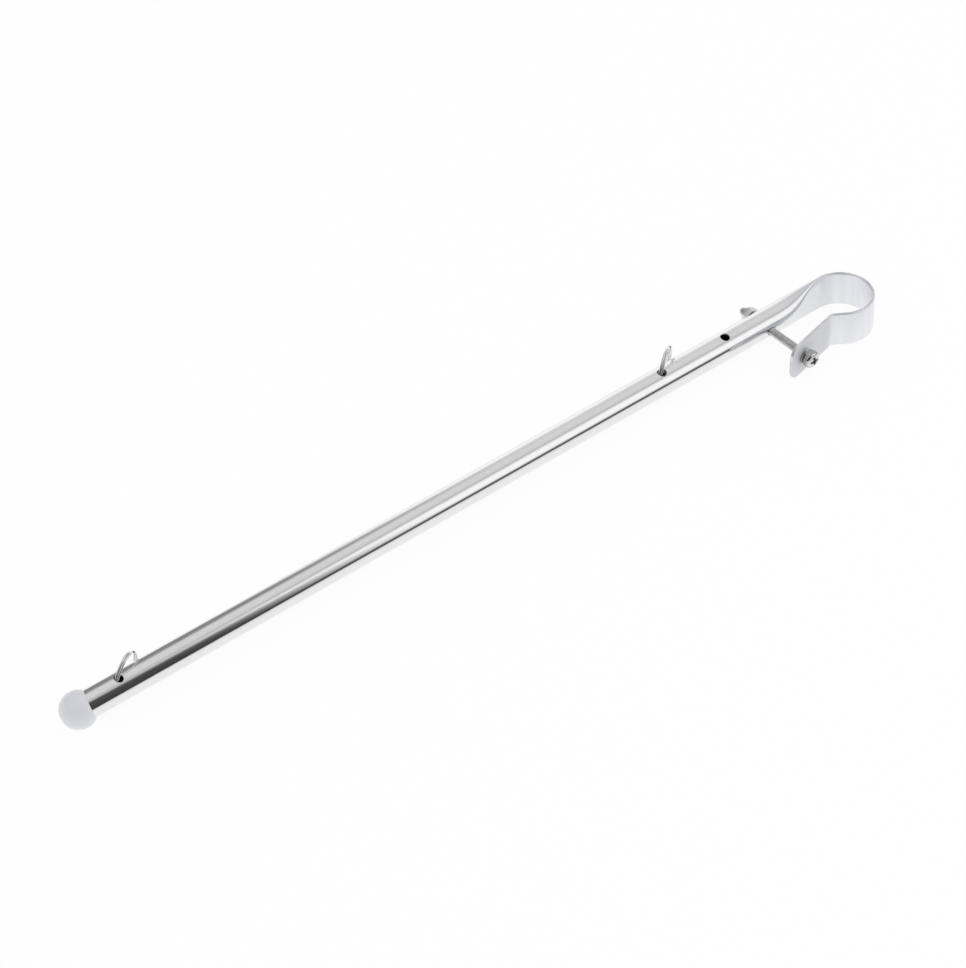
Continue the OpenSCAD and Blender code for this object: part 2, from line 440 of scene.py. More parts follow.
def polished_steel(finishes, neck_l):
    """Bright drawn tube that goes satin and wavy where it was pressed flat, with painted shade in patches on
    the neck and on the tab's end by the screw.
    """
    material = bpy.data.materials.new("polished_steel")
    s = Shader(material)
    place = s.place()
    x, y, _ = s.parts(place)
    along = x + (s.noise(place, scale=90.0) - 0.5) * (4 * MM)
    pressed = along.between(-0.08 * neck_l, 0.12 * neck_l)
    tab_side = (-y).between(-7.5 * MM, -5.5 * MM)
    satin = s.node("Math", {"operation": "MAXIMUM"}, {0: pressed, 1: tab_side})
    neck_starts = along.between(-0.9 * neck_l, -0.3 * neck_l)
    neck_ends = (-along).between(-0.3 * neck_l, 0.0)
    on_neck = neck_starts * neck_ends
    on_tab = (-along).between(0.42 * neck_l, 0.62 * neck_l) * tab_side
    # Painted shade: patches on the neck and on the tab's end by the screw are darkened to stand in for the
    # dark reflections there.
    painted_shade = on_neck * (1 - tab_side) * 0.85 + on_tab
    cloudy = s.noise(place, scale=210.0, detail=3.0)
    drawn = s.noise(s.stretched(place, (0.1, 1.0, 1.0)), scale=2400.0, detail=3.0, roughness=0.6)
    ripples = s.noise(s.stretched(place, (1.0, 1.0, 0.14)), scale=330.0)
    grain = s.noise(s.stretched(place, (1.0, 1.0, 0.3)), scale=3800.0, detail=3.0, roughness=0.6)
    tube_colour = s.mottled(cloudy, finishes.steel, 0.975, high=0.75)
    strap_colour = s.mottled(ripples, finishes.strap, 0.95)
    base = s.mix(satin, tube_colour, strap_colour)
    base = s.mix(painted_shade * (0.7 + cloudy * 0.6), base, scaled(finishes.strap, 0.8))
    roughness = 0.09 + drawn * 0.02 + satin * (0.22 + cloudy * 0.10) + on_tab * 0.2
    height = (1 - satin) * drawn * 0.1 + satin * (ripples * 2.2 + cloudy * 1.5 + grain * 0.12)
    s.surface({
        "Base Color": base,
        "Metallic": 1 - satin * 0.3 - on_tab * 0.35,
        "Roughness": roughness,
        "Normal": s.bump(height, distance=0.01 * MM, strength=0.7),
    })
    return material


def sheared_edge_painted_shade(finishes):
    """Cut edge of the strap, duller in finish and darker in colour as painted shade for the dark lines along
    its rims, with fine marks straight through its thickness.
    """
    material = bpy.data.materials.new("sheared_edge_painted_shade")
    s = Shader(material)
    place = s.place()
    marks = s.noise(place, scale=1800.0, detail=3.0, roughness=0.6)
    patches = s.noise(place, scale=260.0)
    s.surface({
        "Base Color": s.mottled(patches, finishes.edge, 1.25),
        "Metallic": 1.0,
        "Roughness": 0.26 + marks * 0.12,
        "Normal": s.bump(marks, distance=0.01 * MM, strength=0.4),
    })
    return material


def drilled_edge(finishes):
    """Matt wall of a drilled hole, with rings left by the drill."""
    material = bpy.data.materials.new("drilled_edge")
    s = Shader(material)
    place = s.place()
    rings = s.noise(s.stretched(place, (0.25, 0.25, 1.0)), scale=5200.0)
    s.surface({
        "Base Color": s.mix(rings, rgba(finishes.drilled), scaled(finishes.drilled, 1.3)),
        "Metallic": 0.4,
        "Roughness": 0.42 + rings * 0.15,
        "Normal": s.bump(rings, distance=0.01 * MM, strength=0.6),
    })
    return material


# Painted shade: the share of the head's radius over which its rim is darkened, to stand in for the dark
# reflections round it.
HEAD_RIM_SHADE = (0.84, 0.97)


def bright_fastener(finishes, sizes, head_y):
    """Stainless steel, bright on the head, with painted shade round the head's rim, and duller on the thread.
    """
    material = bpy.data.materials.new("bright_fastener")
    s = Shader(material)
    place = s.place()
    x, y, z = s.parts(place)
    rolled = y.between(head_y, head_y + MM)
    out = x + sizes.screw_x
    starts, full = (share * sizes.head_d / 2 for share in HEAD_RIM_SHADE)
    # Painted shade: a ring round the head's edge, mixed towards a darker steel.
    rim_shade = (out * out + z * z).between(starts ** 2, full ** 2) * (1 - rolled)
    turned = s.noise(s.stretched(place, (0.2, 1.0, 0.2)), scale=4200.0)
    patches = s.noise(place, scale=420.0, detail=3.0)
    steel = finishes.fastener
    bright = s.mottled(patches, steel, 0.85)
    dull = s.mix(patches.between(0.35, 0.7), scaled(steel, 0.9), scaled(steel, 0.75))
    s.surface({
        "Base Color": s.mix(rim_shade, s.mix(rolled, bright, dull), scaled(steel, 0.55)),
        "Metallic": 1.0,
        "Roughness": 0.12 + patches * 0.10 + rolled * 0.22,
        "Normal": s.bump(turned, distance=0.005 * MM, strength=0.5),
    })
    return material


def painted_shade_steel(name, shade):
    """Steel with a dark colour that is painted shade (on the washer partly its own darker finish), mottled
    and finely pitted.
    """
    material = bpy.data.materials.new(name)
    s = Shader(material)
    place = s.place()
    mottle = s.noise(place, scale=900.0, detail=3.0, roughness=0.6)
    pits = s.noise(place, scale=5200.0)
    s.surface({
        "Base Color": s.mottled(mottle, shade, 1.35),
        "Metallic": 1.0,
        "Roughness": 0.28 + mottle * 0.14,
        "Normal": s.bump(pits, distance=0.006 * MM, strength=0.6),
    })
    return material


def ring_wire(finishes):
    """Drawn spring wire, bright with fine scratches."""
    material = bpy.data.materials.new("ring_wire")
    s = Shader(material)
    place = s.place()
    scratches = s.noise(place, scale=3000.0, detail=3.0, roughness=0.65)
    tarnish = s.noise(place, scale=260.0)
    s.surface({
        "Base Color": s.mottled(tarnish, finishes.ring, 0.8, low=0.4, high=0.75),
        "Metallic": 1.0,
        "Roughness": 0.12 + scratches * 0.10,
        "Normal": s.bump(scratches, distance=0.006 * MM, strength=0.5),
    })
    return material


def satin_ball(finishes):
    """Moulded ball with a soft sheen and a faintly uneven skin."""
    material = bpy.data.materials.new("satin_ball")
    s = Shader(material)
    place = s.place()
    skin = s.noise(place, scale=1500.0, detail=3.0, roughness=0.6)
    clouds = s.noise(place, scale=160.0)
    s.surface({
        "Base Color": s.mottled(clouds, finishes.ball, 0.975),
        "Roughness": 0.38 + clouds * 0.08,
        "Specular IOR Level": 0.7,
        "Sheen Weight": 1.0,
        "Sheen Roughness": 0.5,
        "Normal": s.bump(skin, distance=0.01 * MM, strength=0.35),
    })
    return material


# The pole ----------------------------------------------------------------------------

OUTLINE_POINTS = 144
NECK_STEPS = 48
LOOP_STEPS = 96
BEND_STEPS = 20
TAB_STEPS = 4
CORNER_STEPS = 12
CUTTER_SIDES = 64
STAYS_ROUND = 2.6
COMES_FLAT = 2.35
BESIDE_HOLE = 4 * MM
THINNEST_BORE = 0.05 * MM
SCREW_CLEARANCE = 0.25 * MM
TAB_CLEARANCE = 0.5 * MM
TAB_CUT_REACH = 4 * MM
BEYOND_TUBE = MM
ROUNDED_EDGE = 0.2 * MM
SHEARED, DRILLED = 1, 2
CUT_EDGE_LEAN = 0.6
HOLE_WALL_LEAN = 0.9
HOLE_WALL_SLACK = 0.02 * MM


def outline(a, b):
    """Flat sides with round ends of radius a that reach b, as (across, up) pairs."""
    pairs = []
    for k in range(OUTLINE_POINTS):
        turn = FULL_TURN * (k + 0.5) / OUTLINE_POINTS
        side = 1 if math.sin(turn) > 0 else -1
        pairs.append((a * math.cos(turn), side * (b - a) + a * math.sin(turn)))
    return pairs


def section(x, y, heading, a, b):
    """That outline set square across the path."""
    c, s = math.cos(heading), math.sin(heading)
    return [Vector((x - p * s, y + p * c, q)) for p, q in outline(a, b)]


def neck_outline(sizes, u):
    """Half thickness and half height of the tube, u of the way through the neck."""
    tube_r = sizes.tube_d / 2
    a = sizes.wall + (tube_r - sizes.wall) * (1 - u ** STAYS_ROUND) ** COMES_FLAT
    flat = (tube_r - a) / (tube_r - sizes.wall)
    return a, tube_r + (sizes.strap_w / 2 - tube_r) * flat


def strap_path(sizes):
    """Places and headings of the strap from the neck to the end of the tab."""
    loop_r = sizes.loop_id / 2 + sizes.wall
    path = []
    for k in range(1, LOOP_STEPS + 1):
        at = math.pi / 2 - sizes.loop_sweep * k / LOOP_STEPS
        path.append((loop_r * math.cos(at), loop_r * math.sin(at), at - math.pi / 2))
    x, y, heading = path[-1]
    x += sizes.ramp_l * math.cos(heading)
    y += sizes.ramp_l * math.sin(heading)
    path.append((x, y, heading))
    centre_x = x - sizes.bend_r * math.sin(heading)
    centre_y = y + sizes.bend_r * math.cos(heading)
    sweep = sizes.tab_splay + math.pi - (heading + FULL_TURN)
    for k in range(1, BEND_STEPS + 1):
        h = heading + sweep * k / BEND_STEPS
        path.append((centre_x + sizes.bend_r * math.sin(h), centre_y - sizes.bend_r * math.cos(h), h))
    return path


def tab_path(sizes, start):
    """Places, heading and half width of the tab, whose end has round corners."""
    x, y, heading = start
    half = sizes.strap_w / 2
    straight = sizes.tab_l - sizes.corner_r
    marks = [(straight * k / TAB_STEPS, half) for k in range(1, TAB_STEPS + 1)]
    for k in range(1, CORNER_STEPS + 1):
        turn = math.pi / 2 * k / CORNER_STEPS
        along = straight + sizes.corner_r * math.sin(turn)
        marks.append((along, half - sizes.corner_r * (1 - math.cos(turn))))
    return [(x + d * math.cos(heading), y + d * math.sin(heading), heading, b) for d, b in marks]


def thickness_way(place, strap):
    """Which way the strap's thickness runs at a place."""
    end_x, end_y, end_heading = strap[-1]
    nearest = min(strap, key=lambda mark: (mark[0] - place.x) ** 2 + (mark[1] - place.y) ** 2)
    heading = end_heading if place.x < end_x else nearest[2]
    return Vector((-math.sin(heading), math.cos(heading), 0))


def tab_face_y(sizes, start, x):
    """Outer face of the tab at a distance from the rail's axis."""
    slope = math.tan(sizes.tab_splay)
    return start[1] - (x + start[0]) * slope - sizes.wall / math.cos(sizes.tab_splay)


def post(place, axis, radius, reach):
    """A plain round cutter about an axis."""
    bm = bmesh.new()
    bmesh.ops.create_cone(bm, cap_ends=True, cap_tris=False, segments=CUTTER_SIDES,
                          radius1=radius, radius2=radius, depth=2 * reach)
    turn = Vector((0, 0, 1)).rotation_difference(Vector(axis)).to_matrix().to_4x4()
    bmesh.ops.transform(bm, matrix=Matrix.Translation(place) @ turn, verts=bm.verts)
    return bm


def pole_skin(sizes, strap, holes):
    """Sections of the outside from the ball to the tab, and of the bore as far as it goes."""
    tube_r, wall = sizes.tube_d / 2, sizes.wall
    marks = [-(sizes.pole_l + sizes.past_ball)]
    for hole in holes:
        marks += [-hole - BESIDE_HOLE, -hole + BESIDE_HOLE]
    marks = [x for x in marks if x < -sizes.neck_l]
    outer = [section(x, POLE_Y, 0, tube_r, tube_r) for x in marks]
    inner = [section(x, POLE_Y, 0, tube_r - wall, tube_r - wall) for x in marks]
    for k in range(NECK_STEPS + 1):
        u = k / NECK_STEPS
        a, b = neck_outline(sizes, u)
        outer.append(section(-sizes.neck_l * (1 - u), POLE_Y, 0, a, b))
        if a - wall > THINNEST_BORE:
            inner.append(section(-sizes.neck_l * (1 - u), POLE_Y, 0, a - wall, b - wall))
    outer += [section(x, y, h, wall, sizes.strap_w / 2) for x, y, h in strap]
    outer += [section(x, y, h, wall, b) for x, y, h, b in tab_path(sizes, strap[-1])]
    return outer, inner


def mark_edges(bm, sizes, strap, ring_holes, across):
    """Gives the strap's cut edges their darker material, which is partly painted shade, and the walls of the
    holes their own finish.
    """
    for face in bm.faces:
        middle = face.calc_center_median()
        if middle.x > 0 or middle.y < POLE_Y - sizes.tube_d / 2 - BEYOND_TUBE:
            through = face.normal.dot(thickness_way(middle, strap))
            face.material_index = SHEARED if abs(through) < CUT_EDGE_LEAN else 0
        for hole in ring_holes:
            reach = middle - Vector((-hole, POLE_Y, 0))
            out = reach - reach.project(across)
            leaning = abs(face.normal.dot(across)) < HOLE_WALL_LEAN
            if leaning and out.length < sizes.hole_d / 2 + HOLE_WALL_SLACK:
                face.material_index = DRILLED


class FLAGPOLE_OT_pole(bpy.types.Operator):
    """Builds the pole: a tube, the neck, the clamp's loop and its tab, in one piece"""

    bl_idname = "flagpole.pole"
    bl_label = "Pole and Clamp"

    def execute(self, context):
        sizes = context.scene.flagpole_pole
        screw = context.scene.flagpole_fasteners
        ring_holes = [sizes.lower_x + sizes.ring_spacing, sizes.lower_x, sizes.spare_x]
        strap = strap_path(sizes)
        outer, inner = pole_skin(sizes, strap, [*ring_holes, screw.screw_x])
        bm = bmesh.new()
        start = first_ring(bm, outer[0])
        close_ring(bm, loft(bm, start, outer[1:]))
        close_ring(bm, loft(bm, start, inner))
        tidy_normals(bm)
        across = Vector((0, -math.sin(sizes.hole_tilt), math.cos(sizes.hole_tilt)))
        reach = sizes.tube_d / 2 + BEYOND_TUBE
        cutters = [post((-x, POLE_Y, 0), across, sizes.hole_d / 2, reach) for x in ring_holes]
        screw_r = screw.screw_d / 2
        cutters.append(post((-screw.screw_x, POLE_Y, 0), (0, 1, 0), screw_r + SCREW_CLEARANCE, reach))
        tab_y = tab_face_y(sizes, strap[-1], screw.screw_x)
        cutters.append(post((-screw.screw_x, tab_y, 0), (0, 1, 0), screw_r + TAB_CLEARANCE, TAB_CUT_REACH))
        bm = carved("pole", bm, cutters)
        eased(bm, width=ROUNDED_EDGE, over_deg=50, segments=3)
        mark_edges(bm, sizes, strap, ring_holes, across)
        finishes = context.scene.flagpole_finishes
        piece = add_piece("pole_and_clamp", bm, "pole", ["pole_tube", "pole_neck", "clamp_loop", "clamp_tab"],
                          polished_steel(finishes, sizes.neck_l), crease_deg=14)
        piece.data.materials.append(sheared_edge_painted_shade(finishes))
        piece.data.materials.append(drilled_edge(finishes))
        return {"FINISHED"}


# The ball ----------------------------------------------------------------------------

BALL_STEPS = 64
BALL_SIDES = 96


class FLAGPOLE_OT_ball(bpy.types.Operator):
    """Turns the ball with the socket that the tube goes into"""

    bl_idname = "flagpole.ball"
    bl_label = "Ball"

    def execute(self, context):
        pole = context.scene.flagpole_pole
        sizes = context.scene.flagpole_ball
        ball_r = sizes.ball_d / 2
        bore = pole.tube_d / 2 + sizes.clearance
        mouth = math.asin(bore / ball_r)
        profile = [(0.0, -ball_r)]
        for k in range(1, BALL_STEPS + 1):
            turn = math.pi - (math.pi - mouth) * k / BALL_STEPS
            profile.append((ball_r * math.sin(turn), ball_r * math.cos(turn)))
        profile.append((bore, -pole.past_ball))
        profile.append((0.0, -pole.past_ball))
        beyond = bmesh.new()
        bmesh.ops.create_cube(beyond, size=4 * ball_r)
        face = (
            Matrix.Rotation(sizes.face_turn, 4, "Z")
            @ Matrix.Translation((0, 0, sizes.face_x))
            @ Matrix.Rotation(-sizes.face_lean, 4, "Y")
            @ Matrix.Translation((0, 0, 2 * ball_r))
        )
        bmesh.ops.transform(beyond, matrix=face, verts=beyond.verts)
        bm = carved("ball", spun(profile, BALL_SIDES), [beyond])
        eased(bm, width=sizes.lip_r, over_deg=50, segments=3)
        place = Matrix.Translation((-pole.pole_l, POLE_Y, 0))
        bmesh.ops.transform(bm, matrix=place @ Matrix.Rotation(math.pi / 2, 4, "Y"), verts=bm.verts)
        add_piece("ball", bm, "pole", ["ball_finial"],
                  satin_ball(context.scene.flagpole_finishes))
        return {"FINISHED"}


# The split rings ---------------------------------------------------------------------

WIRE_POINTS = 20
STEPS_A_TURN = 96
COILS_OVERLAP = 0.04 * MM
END_GAP = math.radians(16)
CROSSING = math.radians(34)
UPPER_WIRE_STARTS = math.radians(62)
LOWER_WIRE_STARTS = math.radians(70)
END_TAPER = 0.86


def coil_path(sizes):
    """Centre line of two coils side by side that cross over once."""
    step = sizes.wire_d - COILS_OVERLAP
    total = 2 * FULL_TURN - END_GAP
    count = int(STEPS_A_TURN * total / FULL_TURN)
    path = []
    for k in range(count + 1):
        turn = total * k / count
        share = min(1.0, max(0.0, (turn - (total - CROSSING) / 2) / CROSSING))
        side = share * share * (3 - 2 * share) - 0.5
        path.append(Vector((sizes.ring_r * math.cos(turn), sizes.ring_r * math.sin(turn), side * step)))
    return path


def wire_sections(path, wire_r):
    """Round sections square across a path that runs round the local Z axis."""
    sections = []
    for k, place in enumerate(path):
        ahead = path[min(k + 1, len(path) - 1)] - path[max(k - 1, 0)]
        outward = Vector((place.x, place.y, 0)).normalized()
        along = ahead.cross(outward).normalized()
        at_end = k in (0, len(path) - 1)
        r = wire_r * (END_TAPER if at_end else 1.0)
        turns = [FULL_TURN * j / WIRE_POINTS for j in range(WIRE_POINTS)]
        sections.append([place + outward * r * math.cos(t) + along * r * math.sin(t) for t in turns])
    return sections


def ring_piece(context, node, x, swing, start, material):
    """Winds one ring, hangs it in its hole and leans it along the pole."""
    pole = context.scene.flagpole_pole
    sizes = context.scene.flagpole_rings
    middle = pole.tube_d / 2 - pole.wall / 2
    reach = math.sqrt(sizes.ring_r ** 2 - middle ** 2) - sizes.inset
    sections = wire_sections(coil_path(sizes), sizes.wire_d / 2)
    bm = bmesh.new()
    first = first_ring(bm, sections[0])
    close_ring(bm, first)
    close_ring(bm, loft(bm, first, sections[1:]))
    tidy_normals(bm)
    place = (
        Matrix.Translation((-x, POLE_Y, 0))
        @ Matrix.Rotation(sizes.tilt, 4, "X")
        @ Matrix.Rotation(math.pi / 2 - swing, 4, "Z")
        @ Matrix.Translation((reach, 0, sizes.lift))
        @ Matrix.Rotation(math.pi / 2, 4, "X")
        @ Matrix.Rotation(start, 4, "Z")
    )
    bmesh.ops.transform(bm, matrix=place, verts=bm.verts)
    add_piece(f"{node}_coil", bm, node, [node], material, crease_deg=50)


class FLAGPOLE_OT_rings(bpy.types.Operator):
    """Winds the two split rings that hold the flag"""

    bl_idname = "flagpole.rings"
    bl_label = "Split Rings"

    def execute(self, context):
        pole = context.scene.flagpole_pole
        sizes = context.scene.flagpole_rings
        wire = ring_wire(context.scene.flagpole_finishes)
        upper_x = pole.lower_x + pole.ring_spacing
        ring_piece(context, "upper_ring", upper_x, sizes.upper_swing, UPPER_WIRE_STARTS, wire)
        ring_piece(context, "lower_ring", pole.lower_x, sizes.lower_swing, LOWER_WIRE_STARTS, wire)
        return {"FINISHED"}


# The clamp screw ---------------------------------------------------------------------

THREAD_DEPTH = 0.38 * MM
THREAD_STEPS = 28
THREAD_TOOTH = [(0, 0.0), (0, 0.16), (1, 0.44), (1, 0.56), (0, 0.84), (0, 1.0)]
THREAD_STARTS = 0.7 * MM
PLAIN_ENDS = 1.6 * MM
THREAD_MERGE = 0.004 * MM
HEAD_SIDES = 72
HEAD_EDGE = 0.25 * MM
HEAD_SIDE = 0.45
HEAD_CROWN = 0.86
HEAD_EASE = 0.07 * MM
SHOULDER_SLOPE = 0.78
SHANK_SIDES = 48
POINT_CUT = 0.25 * MM
POINT_RISE = 0.3 * MM
NECK_FOOT = -0.9 * MM
NECK_TOP = -0.5 * MM
SHANK_SUNK = 0.1 * MM
SHOULDER_STEPS = 8
CROWN_STEPS = 6
RECESS_R = 2.75 * MM
RECESS_LOWEST = 0.3
RECESS_WALL_LEAN = 0.75
RECESS_OVERCUT = 0.2 * MM
RECESS_DEPTH = 2.4 * MM
RECESS_TURN = 0.1
SLOT_TOP = (5.2 * MM, 1.3 * MM)
SLOT_FOOT = (1.8 * MM, 0.75 * MM)
PIT_TOP_R = 1.35 * MM
PIT_FOOT_R = 0.35 * MM
PIT_DEPTH = 2.9 * MM
PIT_SIDES = 24
WASHER_WIRE = 1.1 * MM
WASHER_CLEARANCE = 0.06 * MM
WASHER_EASE = 0.08 * MM
WASHER_GAP = math.radians(14)
WASHER_TURN = math.radians(140)
WASHER_STEPS = 80
NUT_SIDES = 96
NUT_CHAMFER = 0.3 * MM
NUT_CLEARANCE = 0.02 * MM
NUT_EASE = 0.06 * MM


def on_screw(context, y):
    """Puts a piece on the screw's axis, with its +Z running from the nut to the head."""
    x = context.scene.flagpole_fasteners.screw_x
    return Matrix.Translation((-x, y, 0)) @ Matrix.Rotation(math.pi / 2, 4, "X")


def seat_y(context):
    """Where the spring washer touches the tab."""
    pole = context.scene.flagpole_pole
    sizes = context.scene.flagpole_fasteners
    return tab_face_y(pole, strap_path(pole)[-1], sizes.screw_x + sizes.washer_d / 2)


def screw_thread(sizes):
    """A helical thread that runs from the shank's end to below the head."""
    bm = bmesh.new()
    crest = sizes.screw_d / 2
    core = crest - THREAD_DEPTH
    turns = int((sizes.screw_l - PLAIN_ENDS) / sizes.pitch)
    profile = []
    for high, z in THREAD_TOOTH:
        place = (crest if high else core, 0, -sizes.screw_l + THREAD_STARTS + z * sizes.pitch)
        profile.append(bm.verts.new(place))
    edges = [bm.edges.new(pair) for pair in zip(profile, profile[1:])]
    bmesh.ops.spin(bm, geom=profile + edges, cent=(0, 0, 0), axis=(0, 0, 1),
                   dvec=(0, 0, sizes.pitch / THREAD_STEPS), angle=FULL_TURN * turns,
                   steps=THREAD_STEPS * turns, use_merge=False)
    bmesh.ops.remove_doubles(bm, verts=bm.verts, dist=THREAD_MERGE)
    return bm


def screw_shank(sizes):
    """The plain core inside the thread, with a chamfered end and a thicker neck at the head."""
    crest = sizes.screw_d / 2
    core = crest - THREAD_DEPTH
    low = -sizes.screw_l
    profile = [(0, low), (core - POINT_CUT, low), (core, low + POINT_RISE), (core, NECK_FOOT),
               (crest, NECK_TOP), (crest, SHANK_SUNK), (0, SHANK_SUNK)]
    return spun(profile, SHANK_SIDES)


def pan_head(sizes):
    """Profile of the head, from the axis under it to the axis on top."""
    r, h = sizes.head_d / 2, sizes.head_h
    side_top = HEAD_SIDE * h
    profile = [(0.0, 0.0), (r - HEAD_EDGE, 0.0), (r, HEAD_EDGE), (r, side_top)]
    shoulder = r - SHOULDER_SLOPE * (h - side_top)
    for k in range(1, SHOULDER_STEPS + 1):
        turn = math.pi / 2 * k / SHOULDER_STEPS
        profile.append((shoulder + (r - shoulder) * math.cos(turn),
                        side_top + (HEAD_CROWN * h - side_top) * math.sin(turn)))
    for k in range(1, CROWN_STEPS + 1):
        share = 1 - k / CROWN_STEPS
        profile.append((shoulder * share, h - (1 - HEAD_CROWN) * h * share * share))
    return profile


def cross_recess(sizes):
    """Cutters for a cross recess that narrows downwards round a pointed middle."""
    top = sizes.head_h + RECESS_OVERCUT
    tools = []
    for turn in (0, math.pi / 2):
        bm = bmesh.new()
        made = bmesh.ops.create_cube(bm, size=1.0)
        for v in made["verts"]:
            deep = v.co.z < 0
            long, wide = SLOT_FOOT if deep else SLOT_TOP
            v.co.x *= long
            v.co.y *= wide
            v.co.z = top - (RECESS_DEPTH if deep else 0.0)
        bmesh.ops.rotate(bm, verts=bm.verts, matrix=Matrix.Rotation(turn + RECESS_TURN, 3, "Z"))
        tools.append(bm)
    middle = bmesh.new()
    bmesh.ops.create_cone(middle, cap_ends=True, segments=PIT_SIDES, radius1=PIT_FOOT_R,
                          radius2=PIT_TOP_R, depth=PIT_DEPTH)
    bmesh.ops.translate(middle, verts=middle.verts, vec=(0, 0, top - PIT_DEPTH / 2))
    tools.append(middle)
    return tools


class FLAGPOLE_OT_screw(bpy.types.Operator):
    """Makes the clamp's pan-head screw with its thread and cross recess"""

    bl_idname = "flagpole.screw"
    bl_label = "Clamp Screw"

    def execute(self, context):
        sizes = context.scene.flagpole_fasteners
        head_y = seat_y(context) - sizes.washer_t
        head = carved("screw_head", spun(pan_head(sizes), HEAD_SIDES), cross_recess(sizes))
        eased(head, width=HEAD_EASE, over_deg=50)
        # Painted shade: the recess's walls are given the dark recess material.
        for face in head.faces:
            middle = face.calc_center_median()
            inside = math.hypot(middle.x, middle.y) < RECESS_R
            inside = inside and middle.z > RECESS_LOWEST * sizes.head_h
            face.material_index = int(inside and face.normal.z < RECESS_WALL_LEAN)
        for part in (screw_shank(sizes), screw_thread(sizes)):
            held = bpy.data.meshes.new("held")
            part.to_mesh(held)
            part.free()
            head.from_mesh(held)
            bpy.data.meshes.remove(held)
        bmesh.ops.transform(head, matrix=on_screw(context, head_y), verts=head.verts)
        bmesh.ops.recalc_face_normals(head, faces=head.faces)
        finishes = context.scene.flagpole_finishes
        piece = add_piece("pan_head_screw", head, "pole", ["clamp_screw"],
                          bright_fastener(finishes, sizes, head_y))
        piece.data.materials.append(painted_shade_steel("recess_painted_shade", finishes.recess))
        return {"FINISHED"}


class FLAGPOLE_OT_washer(bpy.types.Operator):
    """Winds the square-section spring washer under the head"""

    bl_idname = "flagpole.washer"
    bl_label = "Spring Washer"

    def execute(self, context):
        sizes = context.scene.flagpole_fasteners
        inner, outer = sizes.screw_d / 2 + WASHER_CLEARANCE, sizes.washer_d / 2
        rise = sizes.washer_t - WASHER_WIRE
        bm = bmesh.new()
        corners = [(inner, 0), (outer, 0), (outer, WASHER_WIRE), (inner, WASHER_WIRE)]
        start = bm.faces.new([bm.verts.new((r, 0, z)) for r, z in corners])
        bmesh.ops.spin(bm, geom=[start], cent=(0, 0, 0), axis=(0, 0, 1),
                       dvec=(0, 0, rise / WASHER_STEPS), angle=FULL_TURN - WASHER_GAP,
                       steps=WASHER_STEPS, use_duplicate=False)
        tidy_normals(bm)
        eased(bm, width=WASHER_EASE, over_deg=50)
        place = on_screw(context, seat_y(context)) @ Matrix.Rotation(WASHER_TURN, 4, "Z")
        bmesh.ops.transform(bm, matrix=place, verts=bm.verts)
        # Painted shade: the washer gets the darkened steel, partly its own darker finish.
        add_piece("split_washer", bm, "pole", ["spring_washer"],
                  painted_shade_steel("washer_painted_shade", context.scene.flagpole_finishes.washer))
        return {"FINISHED"}


class FLAGPOLE_OT_nut(bpy.types.Operator):
    """Makes the hexagon nut with chamfered corners"""

    bl_idname = "flagpole.nut"
    bl_label = "Hexagon Nut"

    def execute(self, context):
        pole = context.scene.flagpole_pole
        sizes = context.scene.flagpole_fasteners
        corner = sizes.nut_af / 2 / math.cos(math.pi / 6)
        flat, h = sizes.nut_af / 2, sizes.nut_h
        bm = bmesh.new()
        bmesh.ops.create_cone(bm, cap_ends=True, segments=6, radius1=corner, radius2=corner, depth=h)
        bmesh.ops.translate(bm, verts=bm.verts, vec=(0, 0, h / 2))
        wide = corner + NUT_CHAMFER
        drop = (wide - flat) * math.tan(math.pi / 6)
        bore, lead = sizes.screw_d / 2 + NUT_CLEARANCE, NUT_CHAMFER
        lens = spun([(bore + lead, 0), (flat, 0), (wide, drop), (wide, h - drop), (flat, h),
                     (bore + lead, h), (bore, h - lead), (bore, lead), (bore + lead, 0)], NUT_SIDES)
        bm = carved("hex_nut", bm, [lens], "INTERSECT")
        eased(bm, width=NUT_EASE, over_deg=40)
        top = POLE_Y + pole.tube_d / 2 + h
        bmesh.ops.transform(bm, matrix=on_screw(context, top), verts=bm.verts)
        add_piece("screw_nut", bm, "pole", ["hex_nut"],
                  bpy.data.materials["bright_fastener"])
        return {"FINISHED"}


# The studio --------------------------------------------------------------------------

WHITE = (1, 1, 1, 1)
FLOOR_SIZE = 6
FLOOR_GAP = 0.05 * MM
FLOOR_MATT = (0.9, 0.9, 0.91, 1)
FLOOR_GLOW = 1.03
GLOW_SHARE = 0.65
GLOW_TO_EYE = 0.23
POOL_REACH = 0.15
POOL_STRENGTH = 0.95
PANEL_BLUR = 0.09
PANEL_STRENGTH = 1.07
PANEL_FADE = 0.33
PANEL_X = 0.65
CAMERA_AZIMUTH = math.radians(-41.789)
CAMERA_ELEVATION = math.radians(40.685)
CAMERA_ROLL = math.radians(0.813)
CAMERA_AIM = Vector((-198.016, 14.285, -1.42)) * MM
CAMERA_DISTANCE = 3.0
CAMERA_LENS = 259.79
CAMERA_SENSOR = 36.0
CAMERA_CLIP = (0.1, 50.0)
KEY_PLACE = (0.2, -0.5, 1.6)
KEY_AIM = (-0.2, 0.0, 0.0)
KEY_SIZE = (1.2, 0.8)
KEY_ENERGY = 3.0
ROOM_DIFFUSE = (0.74, 0.74, 0.74, 1)
ROOM_ROUND = [(0.0, 0.05), (0.28, 0.07), (0.31, 0.10), (0.345, 0.22), (0.39, 0.58), (0.44, 0.71),
              (0.56, 0.75), (0.65, 0.73), (0.70, 0.62), (0.745, 0.40), (0.79, 0.26), (1.0, 0.27)]


